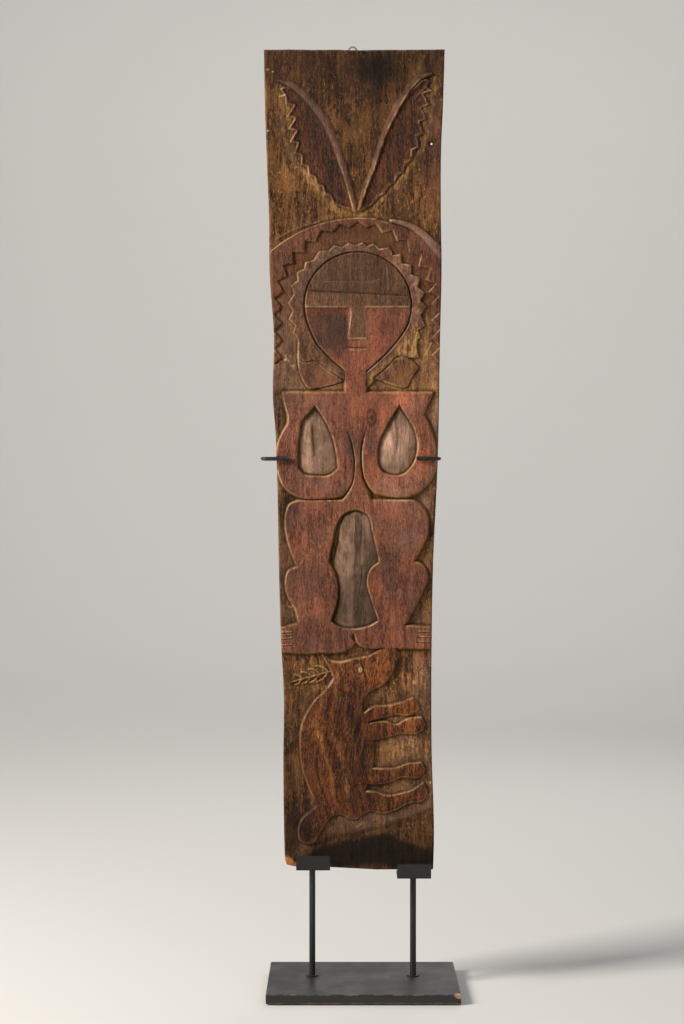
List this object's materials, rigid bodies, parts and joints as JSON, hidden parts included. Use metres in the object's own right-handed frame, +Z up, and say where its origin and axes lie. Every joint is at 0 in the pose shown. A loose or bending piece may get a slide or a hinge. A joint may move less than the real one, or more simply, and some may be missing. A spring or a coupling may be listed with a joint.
{
  "type": "carved ancestor figure panel on stand",
  "caption": "Tall wooden plank carved in relief with a haloed, horned figure above a deer, held upright on a black stand with cradles and sliding edge clips.",
  "frame": {"origin": "centre of the underside of the stand's base, on the floor", "axes": "+Z up along the plank's length, +X to the right seen from the carved side, -Y the way the carving faces"},
  "size_m": [0.3856, 0.24, 1.859],
  "materials": {
    "carved_wood": "old carved hardwood, red-brown on the raised carving, ochre in the ground, worn pale edges, satin",
    "painted_board": "black painted board, satin, worn at the front edge",
    "black_metal": "matte black paint",
    "zinc_steel": "zinc plated",
    "felt": "black felt",
    "shim_wood": "black stained wood shim",
    "black_rubber": "matte black rubber",
    "bright_steel": "plain bright steel",
    "pale_nail": "nail head with a pale coat"
  },
  "bodies": {
    "stand": {"felt_underlay": "felt", "base_slab": "painted_board", "foot_collars": "black_metal", "foot_washers": "zinc_steel", "foot_nuts": "zinc_steel", "left_post": "black_metal", "right_post": "black_metal", "left_cradle": "black_metal", "right_cradle": "black_metal", "left_cradle_liner": "felt", "right_cradle_shim": "shim_wood", "upper_crossbar": "black_metal", "lower_crossbar": "black_metal", "bumper_rings": "black_rubber"},
    "panel": {"carved_panel": "carved_wood", "hanging_plate": "bright_steel", "plate_screws": "bright_steel", "old_nail": "pale_nail"},
    "left_clip": {"left_clip_arm": "black_metal", "left_tip_sleeve": "black_rubber"},
    "right_clip": {"right_clip_arm": "black_metal", "right_tip_sleeve": "black_rubber"},
    "left_screw": {"left_thumb_screw": "black_metal"},
    "right_screw": {"right_thumb_screw": "black_metal"}
  },
  "joints": [
    {"name": "panel_lift", "type": "slide", "parent": "stand", "child": "panel", "axis": [0, 0, 1], "range_m": [0, 0.04]},
    {"name": "left_clip_slide", "type": "slide", "parent": "stand", "child": "left_clip", "axis": [-1, 0, 0], "range_m": [-0.018, 0.045]},
    {"name": "right_clip_slide", "type": "slide", "parent": "stand", "child": "right_clip", "axis": [1, 0, 0], "range_m": [0, 0.045]},
    {"name": "left_screw_turn", "type": "hinge", "parent": "stand", "child": "left_screw", "pos_m": [-0.14, 0.015, 1.0435], "axis": [0, 1, 0], "range_deg": [0, 720]},
    {"name": "right_screw_turn", "type": "hinge", "parent": "stand", "child": "right_screw", "pos_m": [0.114, 0.015, 1.0435], "axis": [0, 1, 0], "range_deg": [0, 720]}
  ]
}
